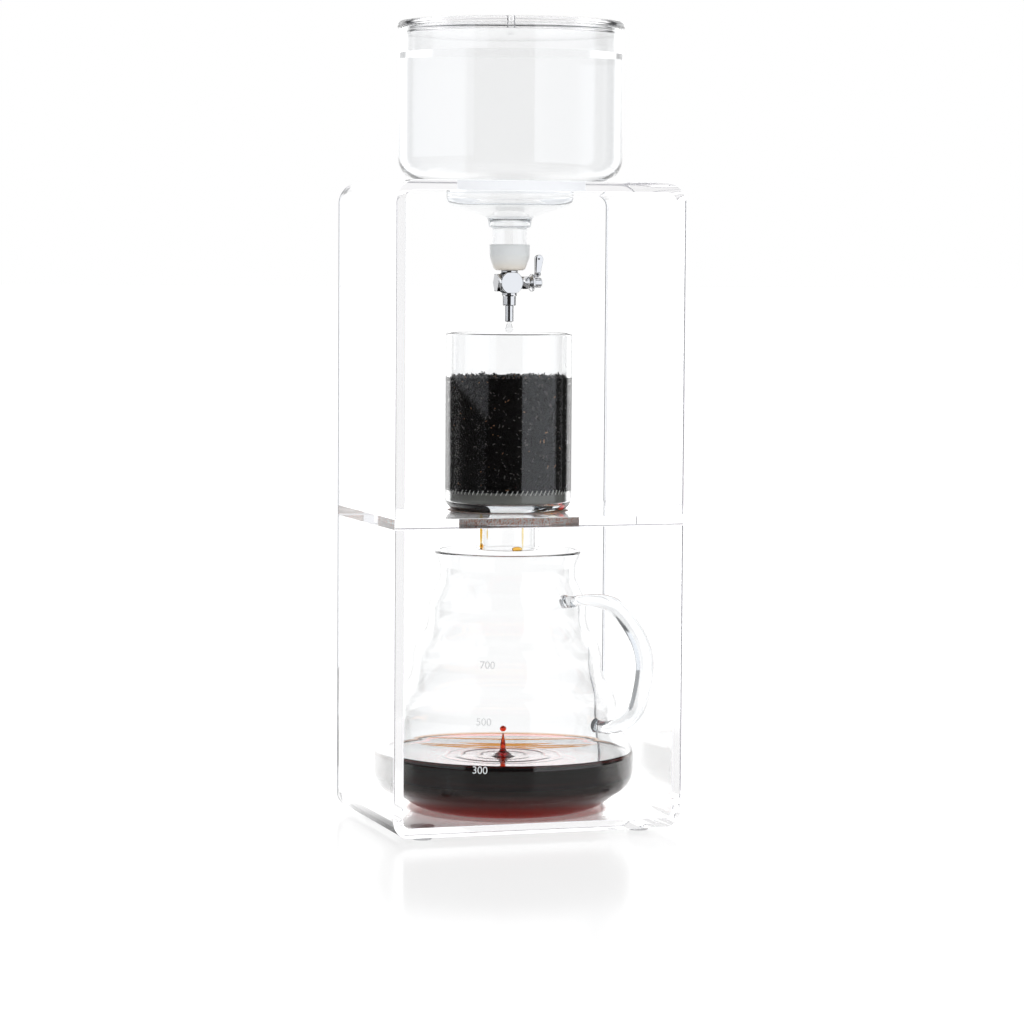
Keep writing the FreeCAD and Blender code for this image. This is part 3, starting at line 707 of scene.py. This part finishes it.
def grains(rng):
    """Loose grains, half of them on top of the bed and half along its side."""
    top, pale_share, ash_and_glint_share = grounds_top, 0.03, 0.34
    grain = bmesh.new()
    bmesh.ops.create_icosphere(grain, subdivisions=1, radius=1.0)
    shape_mesh = bpy.data.meshes.new("grain")
    bm = bmesh.new()
    for i in range(5200):
        turn = rng.uniform(0, 2 * math.pi)
        size = rng.uniform(0.3, 0.8)
        rim = i % 4 == 0
        if i % 2 == 0:
            reach = (strainer_in - 1.2) * math.sqrt(rng.uniform(0.9 if rim else 0.1, 1.0))
            height = top - 1.1 + clumped(reach * math.cos(turn), reach * math.sin(turn))
            height += rng.uniform(-0.6, 1.1 if rim else 0.4)
        else:
            reach = strainer_in + 0.12 - size * 0.35
            height = rng.uniform(bed_low + 0.5, top - 0.6)
        length, width = size * rng.uniform(0.9, 1.7), size * rng.uniform(0.3, 0.6)
        shape = Matrix.Diagonal((length, width, size * rng.uniform(0.35, 0.6), 1))
        lean = Matrix.Rotation(rng.uniform(0, 6.3), 4, (math.cos(turn), math.sin(turn), 0))
        flat = Matrix.Rotation(turn + math.pi / 2, 4, "Z")
        place = Matrix.Translation((reach * math.cos(turn), reach * math.sin(turn), height))
        grain.to_mesh(shape_mesh)
        shape_mesh.transform(place @ lean @ flat @ shape)
        first = len(bm.faces)
        bm.from_mesh(shape_mesh)
        # About a third of the grains are paler, a few brown and the rest grey; the grey ones are partly their
        # own tone and partly painted glints.
        tone = rng.random()
        if tone < ash_and_glint_share:
            bm.faces.ensure_lookup_table()
            for face in bm.faces[first:]:
                face.material_index = 1 if tone < pale_share else 2
    grain.free()
    bpy.data.meshes.remove(shape_mesh)
    finished("grains", bm, "strainer", (ground_coffee, pale_grain, ash_grain_and_glint), smooth=False)


def grounds():
    """The ground coffee; bed and grains draw from one row of random numbers."""
    rng = random.Random(11)
    bed(rng)
    grains(rng)


def ring_ticks():
    """Slanted bright bars at the filter ring's notches, against the glass: painted glints of the notches'
    edges.
    """
    bm = bmesh.new()
    notches, slant, tick = 76, math.radians(-28), (0.3, 0.5, 2.6, 1)
    reach = Matrix.Translation((strainer_in - 0.08, 0, ring_top + 0.1))
    for i in range(notches):
        turn = Matrix.Rotation(2 * math.pi * i / notches, 4, "Z")
        bmesh.ops.create_cube(bm, size=1.0, matrix=turn @ reach @ Matrix.Rotation(slant, 4, "X")
                              @ Matrix.Diagonal(tick))
    finished("ring_ticks", bm, "strainer", painted_glint_ticks, smooth=False)


def blob(bm, turn, z, reach, half_width, half_height, depth):
    """A flattened drop on a round wall; turn is in degrees to the right of the front."""
    out = facing(turn)
    place = Matrix.Translation((out.x * reach, out.y * reach, z))
    place = place @ Matrix.Rotation(math.atan2(out.y, out.x), 4, "Z")
    bmesh.ops.create_uvsphere(bm, u_segments=20, v_segments=14, radius=1.0,
                              matrix=place @ Matrix.Diagonal((depth, half_width, half_height, 1)))


def puddles():
    """Coffee that stands on the strainer's floor: silt on the left and a clear puddle on the right."""
    low = strainer_floor - wetting
    inner, outer = outlet_in + 1.6, strainer_in
    section = [(inner, low), (outer - 1.4, low), (outer - 0.5, strainer_floor + 0.35),
               (outer - 0.7, strainer_floor + 0.7), (inner, strainer_floor + 0.5)]
    for name, material, start, end in (("silt", ground_coffee, -118, -22), ("puddle", amber_drop, 62, 108)):
        bm = bmesh.new()
        out = facing(start)
        face = bm.faces.new([bm.verts.new((out.x * r, out.y * r, z)) for r, z in section])
        bmesh.ops.spin(bm, geom=[face, *face.edges, *face.verts], cent=(0, 0, 0), axis=(0, 0, 1),
                       angle=math.radians(end - start), steps=40, use_merge=False)
        bmesh.ops.remove_doubles(bm, verts=bm.verts, dist=1e-4)
        finished(name, bm, "strainer", material, sharp=0.8)


def trickles():
    """Coffee that runs down inside the outlet, with drops at its end."""
    bm = bmesh.new()
    for turn, z, half_width, half_height, depth in (
            (-66, 148.0, 0.75, 8.5, 0.5), (-65, 139.6, 1.15, 1.5, 0.9), (-45, 146.0, 0.35, 2.8, 0.3),
            (31, 146.5, 0.5, 8.5, 0.22), (19, 138.9, 2.6, 1.1, 0.8)):
        blob(bm, turn, z, outlet_in, half_width, half_height, depth)
    finished("trickles", bm, "strainer", amber_drop, sharp=ROUND_SHARP)


def band(inner, outer, low, high):
    """Outline of a flat ring."""
    return [(inner, low), (outer, low), (outer, high), (inner, high)]


def films():
    """Coffee under the strainer, and a stained ring in the shelf around its seat."""
    half_t = 0.03
    film = band(outlet_r + 1.5, strainer_r - 1.2, shelf_top - half_t, shelf_top + half_t)
    turned("wet_film", film, "strainer", stained_film, steps=120)
    seat = band(30.2, 30.6, shelf_low + 0.1, shelf_top - 0.1)
    turned("seat_ring", seat, "stand", stained_film, steps=120)


# ---------------- jug
def jug_outline():
    """Corners of the jug's outside from the middle of its foot to its lip, above the base plate."""
    wave_low, wave_r, wave_pitch, wave_step = 44.0, 55.3, 24.0, 7.8
    waves = []
    for i in range(2):
        height, radius = wave_low + wave_pitch * i, wave_r - wave_step * i
        waves += [(radius, height, 16.0), (radius, height + wave_pitch / 2, 16.0)]
    return [(0.0, 0.0), (44.1, 0.0, 25.0), (63.6, 13.7, 11.5), (63.6, 31.2, 16.0), *waves,
            (39.7, 92.0, 16.0), (39.7, 103.6, 12.0), (33.86, 116.0, 8.0), (33.86, 121.7, 8.0), (36.6, 129.3)]


def inset_corners(corners, depth):
    """An open outline moved into the glass by a depth, with its roundings kept concentric."""
    points = [Vector(corner[:2]) for corner in corners]
    ways = [(after - before).normalized() for before, after in zip(points, points[1:])]
    moved = []
    for i, point in enumerate(points):
        before = ways[max(i - 1, 0)]
        after = ways[min(i, len(ways) - 1)]
        both = before + after
        place = point + Vector((-both.y, both.x)) * (depth / (1 + before.dot(after)))
        bend = math.copysign(1, before.cross(after))
        radius = corners[i][2] - bend * depth if len(corners[i]) > 2 else 0
        moved.append((place.x, place.y, radius))
    return moved


def lifted(corners):
    """An outline above the base plate, lifted onto it."""
    return [(c[0], c[1] + base_top + contact_gap, *c[2:]) for c in corners]


def first_run(points):
    """The start of an outline, up to where it jumps back down."""
    falls = (i for i, p in enumerate(points) if i and p[1] < points[i - 1][1] - 1.0)
    return points[:next(falls, len(points))]


def jug():
    """One thin waved glass."""
    outside = lifted(inset_corners(jug_outline(), 0))
    inside = lifted(inset_corners(jug_outline(), jug_wall))
    lip = [(c[0], c[1], rim_round) for c in (outside[-1], inside[-1])]
    loop = rounded(outside[:-1] + lip + inside[-2::-1])
    turned("jug", loop, "server", clear_glass, ("server_glass",), steps=192, closed=False,
           sharp=ROUND_SHARP)


def coffee_fill():
    """The brewed coffee, drawn up a little along the glass."""
    level = coffee_depth
    wall = rounded(inset_corners(jug_outline(), jug_wall - wetting))
    wet = first_run([p for p in wall[1:] if p.y < level and p.x > 1.0])
    edge = max(p.x for p in wet)
    loop = [(0, jug_wall - wetting), *[(p.x, p.y) for p in wet], (edge, level + 0.9),
            (edge - 0.5, level + 0.35), (edge - 1.4, level + 0.08), (edge - 3.0, level), (0, level)]
    turned("coffee_fill", lifted(loop), "server", coffee, ("brewed_coffee",), steps=192,
           closed=False)


def jug_radius(z):
    """The jug's outside radius at a height."""
    outline = rounded(inset_corners(jug_outline(), 0))
    wall = [p for p in lifted([(p.x, p.y) for p in outline]) if p[0] > 30]
    for low, high in zip(wall, wall[1:]):
        if low[1] <= z <= high[1]:
            return low[0] + (high[0] - low[0]) * (z - low[1]) / max(high[1] - low[1], 1e-6)
    return wall[-1][0]


def numbers():
    """Plain volume numbers, printed on the jug near their fill heights."""
    size, turn, print_t, print_lift = 5.2, -11.6, 0.08, 0.12
    bm = bmesh.new()
    for text, z in (("700", 84.6), ("500", 57.6), ("300", 35.1)):
        curve = bpy.data.curves.new("number", "FONT")
        curve.body, curve.size, curve.extrude = text, size, print_t
        curve.align_x = "CENTER"
        holder = bpy.data.objects.new("number", curve)
        bpy.context.scene.collection.objects.link(holder)
        flat = evaluated_mesh(holder)
        bpy.data.objects.remove(holder)
        for v in flat.vertices:
            height = z - 1.8 + v.co.y
            reach = jug_radius(height) + print_lift + v.co.z
            out = facing(turn + math.degrees(v.co.x / reach)) * reach
            v.co = (out.x, out.y, height)
        bm.from_mesh(flat)
        bpy.data.meshes.remove(flat)
    bmesh.ops.remove_doubles(bm, verts=bm.verts, dist=1e-4)
    finished("numbers", bm, "server", print_ink, smooth=False)


def splash():
    """The last drop has just fallen: a bead above a thin jet, and rings around it."""
    middle = facing(-6) * 16.5
    jet = [(0, 10.9), (0.35, 10.7), (0.5, 9.2), (0.9, 7.2), (1.25, 5.2), (1.4, 3.8), (1.3, 3.0),
           (1.8, 2.1), (2.9, 1.2), (4.6, 0.45), (6.2, 0.05), (6.2, -0.2), (0, -0.2)]
    bead_r, bead_height = 1.6, 13.4
    bm = spun(bmesh.new(), [(r, coffee_level + h) for r, h in jet], 48, closed=False)
    bmesh.ops.create_uvsphere(bm, u_segments=32, v_segments=20, radius=bead_r,
                              matrix=Matrix.Translation((0, 0, coffee_level + bead_height)))
    bmesh.ops.translate(bm, verts=bm.verts, vec=middle)
    finished("jet", bm, "server", coffee_drop, sharp=ROUND_SHARP)
    bm = bmesh.new()
    low = coffee_level - 0.3
    for reach, half, rise in ((12.5, 1.6, 0.22), (22.0, 2.2, 0.34), (29.0, 1.8, 0.14)):
        turns = [math.pi * k / 8 for k in range(9)]
        wave = [(reach + half * math.cos(turn), coffee_level - 0.01 + rise * math.sin(turn) ** 2)
                for turn in turns]
        spun(bm, wave + [(reach - half, low), (reach + half, low)], 120)
    bmesh.ops.translate(bm, verts=bm.verts, vec=middle)
    finished("ripples", bm, "server", coffee, sharp=ROUND_SHARP)


def streaks():
    """Curved orange streaks of painted light on the coffee, behind the splash; they glow a little."""
    bm = bmesh.new()
    for near, bend, half, span in ((-7.0, 13.0, 2.6, 44.0), (-14.5, 11.0, 2.2, 46.0),
                                   (-33.0, 6.0, 2.0, 42.0), (-39.0, 5.0, 1.6, 36.0)):
        strip = bmesh.ops.create_grid(bm, x_segments=40, y_segments=1, size=1.0)["verts"]
        for v in strip:
            taper = half * max(1 - v.co.x ** 4, 0.05)
            forward = near - bend * v.co.x ** 2 + v.co.y * taper
            place = facing(90) * (v.co.x * span) + facing(0) * forward
            v.co = (place.x, place.y, coffee_level + 0.03)
    bmesh.ops.solidify(bm, geom=bm.faces[:], thickness=0.05)
    finished("streaks", bm, "server", painted_light_streak, smooth=False)


def coffee_glow():
    """A red lining in the thin lower edge of the bowl, painted and glowing brightest at the bottom, stands in
    for light that comes through the coffee there.
    """
    inner, top = 12.0, 17.5
    wall = rounded(inset_corners(jug_outline(), jug_wall + 0.25))
    low = first_run([(p.x, p.y) for p in wall if p.x > inner and p.y < top])
    lining = low + [(r - 0.4, z + 0.3) for r, z in reversed(low)]
    turned("coffee_glow", lifted(lining), "server", red_glow)


def coffee_light():
    """A painted pool of warm light, for light that has come through the coffee: it tints the plate around the
    jug's foot and fades outwards.
    """
    inner, reach, rim, cover = 38.5, 52.0, 0.06, 0.34
    tree = warm_light.node_tree
    inputs = {"Vector": own_place(tree), "Location": (0, -tower_y / reach, 0),
              "Scale": (1 / (reach * MM),) * 3}
    place = add_node(tree, "ShaderNodeMapping", inputs)["Vector"]
    fade = add_node(tree, "ShaderNodeTexGradient", {"Vector": place}, gradient_type="SPHERICAL")
    alpha = add_node(tree, "ShaderNodeMapRange", {"Value": fade["Fac"], "From Max": rim, "To Max": cover})
    feed(tree, surface(warm_light)["Alpha"], alpha["Result"])
    bm = spun(bmesh.new(), band(inner, reach, base_top + 0.04, base_top + 0.08), 96)
    finished("coffee_light", bm, "server", warm_light, smooth=False)


def handle():
    """A glass rod welded to the jug at both ends, flat and wide where it is gripped."""
    up, low, span, grip = 106.2, 45.8, 83.8, 74.5
    thin, weld, fat, wide = 2.6, 3.7, 4.0, 5.7
    # place before the handle's outer end, height, half thickness, half width
    stations = [(50.0, up - 0.6, weld - 0.5, weld - 0.5), (48.5, up - 0.4, weld - 0.6, weld - 0.55),
                (43.6, up, weld - 0.9, weld - 0.85), (40.6, up + 0.9, thin, thin + 0.1),
                (28.5, up + 1.5, 0.85 * fat, 0.75 * wide), (17.5, up - 0.9, fat, 0.95 * wide),
                (6.8, up - 11.0, fat, wide), (1.0, grip + 10.5, fat, wide), (0.0, grip - 1.0, fat, wide),
                (4.0, low + 11.2, fat, wide), (11.5, low + 3.2, 0.95 * fat, 0.9 * wide),
                (20.3, low, 0.8 * fat, 0.65 * wide), (24.5, low - 0.3, thin + 0.4, thin + 0.5),
                (27.0, low - 0.2, weld - 0.6, weld - 0.5), (30.0, low, weld, weld + 0.05)]
    sections = catmull([Vector((span - s[0], *s[1:])) for s in stations], 8)
    out = Vector((math.cos(handle_dir), -math.sin(handle_dir), 0))
    across = Vector((math.sin(handle_dir), math.cos(handle_dir), 0))
    bm = bmesh.new()
    rings = []
    count = 40
    for i, (reach, height, half_t, half_w) in enumerate(sections):
        before, after = sections[max(i - 1, 0)], sections[min(i + 1, len(sections) - 1)]
        way = out * (after[0] - before[0]) + Vector((0, 0, after[1] - before[1]))
        flat = way.cross(across).normalized()
        middle = out * reach + Vector((0, 0, base_top + height))
        turns = [2 * math.pi * k / count for k in range(count)]
        rings.append([bm.verts.new(middle + across * (half_w * math.cos(turn))
                                   + flat * (half_t * math.sin(turn))) for turn in turns])
    for a, b in zip(rings, rings[1:]):
        for k in range(count):
            after = (k + 1) % count
            bm.faces.new((a[k], a[after], b[after], b[k]))
    bm.faces.new(rings[0])
    bm.faces.new(rings[-1][::-1])
    finished("handle", bm, "server", handle_glass, ("server_handle",), sharp=ROUND_SHARP)


def catmull(keys, steps):
    """A smooth run through keys, with so many steps between two of them."""
    points = []
    for i in range(len(keys) - 1):
        a, b = keys[max(i - 1, 0)], keys[i]
        c, d = keys[i + 1], keys[min(i + 2, len(keys) - 1)]
        for k in range(steps):
            t = k / steps
            points.append(0.5 * (2 * b + (c - a) * t + (2 * a - 5 * b + 4 * c - d) * t**2
                                 + (3 * b - a - 3 * c + d) * t**3))
    points.append(keys[-1])
    return points


# ---------------- room, light and camera
def camera():
    """A long lens from the front left, a little above the middle of the tower."""
    data = bpy.data.cameras.new("camera")
    data.sensor_width = camera_film
    data.lens = camera_lens
    data.clip_start, data.clip_end = 0.1, 100.0
    holder = bpy.data.objects.new("camera", data)
    turn = (Matrix.Rotation(-camera_yaw, 4, "Z") @ Matrix.Rotation(math.pi / 2 + camera_pitch, 4, "X")
            @ Matrix.Rotation(camera_roll, 4, "Z"))
    holder.matrix_world = Matrix.Translation(camera_at * MM) @ turn
    bpy.context.scene.collection.objects.link(holder)
    bpy.context.scene.camera = holder


class Sockets:
    """Short way to write node arithmetic."""

    def __init__(self, tree):
        self.tree = tree

    def math(self, operation, *values):
        """Arithmetic on plain numbers and outputs of nodes."""
        return add_node(self.tree, "ShaderNodeMath", enumerate(values), operation=operation)[0]

    def plus(self, a, b):
        return self.math("ADD", a, b)

    def minus(self, a, b):
        return self.math("SUBTRACT", a, b)

    def times(self, a, b):
        return self.math("MULTIPLY", a, b)

    def larger(self, a, b):
        return self.math("MAXIMUM", a, b)

    def mixed(self, share, one, other):
        """One where the share is 1, the other where it is 0."""
        return self.plus(self.times(share, one), self.times(self.minus(1.0, share), other))

    def ramp(self, value, start, end):
        """0 below start and 1 above end, with a smooth rise between them."""
        inputs = {"Value": value, "From Min": start, "From Max": end}
        return add_node(self.tree, "ShaderNodeMapRange", inputs, interpolation_type="SMOOTHSTEP")["Result"]

    def window(self, value, low, high, soft):
        """1 between low and high, 0 outside them."""
        rise = self.ramp(value, low - soft, low + soft)
        return self.minus(rise, self.ramp(value, high - soft, high + soft))


def around_tower(s, x, y):
    """How far a place or direction lies towards the lit wall, and its degrees around the tower."""
    cos, sin = math.cos(camera_yaw), math.sin(camera_yaw)
    right = s.minus(s.times(x, cos), s.times(y, sin))
    back = s.plus(s.times(x, sin), s.times(y, cos))
    turn = s.math("ARCTAN2", right, s.times(back, -1.0))
    return back, s.times(turn, 180 / math.pi)


def mirrored_rays(s, path):
    """1 for light that is mirrored somewhere on its way, 0 for light that comes straight or through glass."""
    return s.times(s.math("MINIMUM", path["Glossy Depth"], 1.0), s.minus(1.0, path["Is Diffuse Ray"]))


def mirrored_room(s, path, degrees, rise):
    """What metal and glass mirror, and where of it the two soft boxes are.

    Places are degrees around the tower and degrees above the horizon, each with its softness.
    """
    box_right = s.times(s.window(degrees, 25.0, 97.0, 1.0), s.window(rise, -30.0, 55.0, 2.0))
    slanted = s.plus(rise, s.times(degrees, 0.008))
    box_left = s.times(s.window(degrees, -120.0, -38.0, 1.0), s.window(slanted, -2.9, 55.0, 0.12))
    boxes = s.plus(s.times(box_right, 0.95), s.times(box_left, 0.6))
    boxes = s.plus(boxes, s.times(s.window(degrees, 112.0, 116.0, 1.0), 0.5))
    turn = s.math("ABSOLUTE", degrees)
    strips = s.times(s.window(turn, 134.0, 154.0, 4.0), 0.8)
    horizon = s.times(s.window(rise, 3.0, 14.0, 2.0), s.ramp(turn, 150.0, 165.0))
    wall = s.plus(s.ramp(turn, 128.0, 138.0), s.plus(strips, horizon))
    darkest, darkest_in_glass = 0.02, 0.06
    level = s.plus(s.larger(boxes, s.larger(wall, s.ramp(rise, 55.0, 75.0))), darkest)
    level = s.larger(level, s.times(path["Is Transmission Ray"], darkest_in_glass))
    return level, s.larger(box_right, box_left)


def world():
    """White room with a bright wall behind the tower, a soft box on each side and dark gaps between them."""
    room = bpy.data.worlds.new("room")
    room.use_nodes = True
    tree = room.node_tree
    s = Sockets(tree)
    x, y, z = add_node(tree, "ShaderNodeSeparateXYZ", {0: add_node(tree, "ShaderNodeTexCoord")["Generated"]})
    path = add_node(tree, "ShaderNodeLightPath")
    degrees = around_tower(s, x, y)[1]
    rise = s.times(s.math("ARCSINE", z), 180 / math.pi)
    mirrored, boxes = mirrored_room(s, path, degrees, rise)
    reflected = mirrored_rays(s, path)
    front_dimming, back_gain = 0.25, 0.30
    through = s.times(s.ramp(s.math("ABSOLUTE", degrees), 60.0, 120.0), back_gain)
    through = s.minus(through, front_dimming)
    straight = s.plus(s.times(through, path["Is Transmission Ray"]), 1.0)
    colors = {"Factor": s.times(reflected, boxes), "A": (1, 1, 1, 1), "B": (0.95, 0.98, 1.03, 1)}
    background = tree.nodes["Background"].inputs
    feed(tree, background["Color"], add_node(tree, "ShaderNodeMix", colors, data_type="RGBA")["Result"])
    feed(tree, background["Strength"], s.mixed(reflected, mirrored, straight))
    bpy.context.scene.world = room


def table_finish():
    """A white top that keeps a soft shadow and a faint reflection, and is mirrored only near the tower."""
    material = bpy.data.materials.new("table_top")
    material.use_nodes = True
    tree = material.node_tree
    tree.nodes.remove(tree.nodes["Principled BSDF"])
    s = Sockets(tree)
    path = add_node(tree, "ShaderNodeLightPath")
    place = own_place(tree)
    ahead = add_node(tree, "ShaderNodeSeparateXYZ", {0: place})
    back, degrees = around_tower(s, ahead[0], ahead[1])
    front_level, back_level, strip_level, gain_in_glass = 0.2, 0.8, 0.7, 0.05
    strips = s.times(s.window(s.math("ABSOLUTE", degrees), 112.0, 154.0, 4.0), strip_level)
    lit = s.plus(s.times(s.plus(strips, back_level), s.ramp(back, -0.05, 0.04)), front_level)
    reflected = mirrored_rays(s, path)
    straight = s.plus(s.times(path["Is Transmission Ray"], gain_in_glass), 1.0)
    glow = add_node(tree, "ShaderNodeEmission", {"Strength": s.mixed(reflected, lit, straight)})[0]
    matt = add_node(tree, "ShaderNodeBsdfDiffuse", {"Color": (1, 1, 1, 1)})[0]
    gloss = add_node(tree, "ShaderNodeBsdfGlossy", {"Color": (1, 1, 1, 1), "Roughness": 0.15})[0]
    gone = add_node(tree, "ShaderNodeBsdfTransparent")[0]
    reach = add_node(tree, "ShaderNodeVectorMath", {0: place}, operation="LENGTH")["Value"]
    beyond = s.times(reflected, s.ramp(reach, 0.42, 0.5))
    top = glow
    for share, other in ((0.12, matt), (0.12, gloss), (beyond, gone)):
        top = add_node(tree, "ShaderNodeMixShader", {0: share, 1: top, 2: other})[0]
    feed(tree, tree.nodes["Material Output"].inputs["Surface"], top)
    return material


def table_top():
    """The table, just under the tower's feet; its mesh is in metres."""
    half_width, drop = 30.0, 0.0001
    bm = bmesh.new()
    bmesh.ops.create_grid(bm, x_segments=1, y_segments=1, size=half_width)
    bmesh.ops.translate(bm, verts=bm.verts, vec=(0, 0, -drop))
    mesh = bpy.data.meshes.new("table_top")
    bm.to_mesh(mesh)
    bm.free()
    mesh.materials.append(table_finish())
    top = bpy.data.objects.new("table_top", mesh)
    bpy.context.scene.collection.objects.link(top)


def light_paths():
    """Enough bounces for light to pass through sheets, glasses and liquids behind one another."""
    scene = bpy.context.scene
    scene.view_settings.view_transform = "Standard"
    scene.cycles.max_bounces = 28
    scene.cycles.transmission_bounces = 28
    scene.cycles.glossy_bounces = 16
    scene.cycles.diffuse_bounces = 4
    scene.cycles.transparent_max_bounces = 16
    scene.cycles.caustics_refractive = True
    scene.cycles.caustics_reflective = False


# ---------------- the whole tower
def dress(node, material):
    """Gives a CAD node that stays shown its finish."""
    mesh = frame["nodes"][node].data
    mesh.materials.clear()
    mesh.materials.append(material)


stand()
water_tank()
tank_lid()
sleeve()
strainer()
jug()
coffee_fill()
handle()
valve_drum()
inlet()
nozzle()
nuts()
lever_hub()
lever_arm()
hanging_drop()
grounds()
ring_ticks()
puddles()
trickles()
films()
numbers()
splash()
streaks()
coffee_glow()
coffee_light()
for node, material in (("bumper_feet", bumper_rubber), ("plug_spring", satin_steel), ("valve_plug", brass),
                       ("plug_seals", black_rubber), ("filter_ring", ring_steel),
                       ("filter_mesh", satin_steel)):
    dress(node, material)
camera()
world()
table_top()
light_paths()
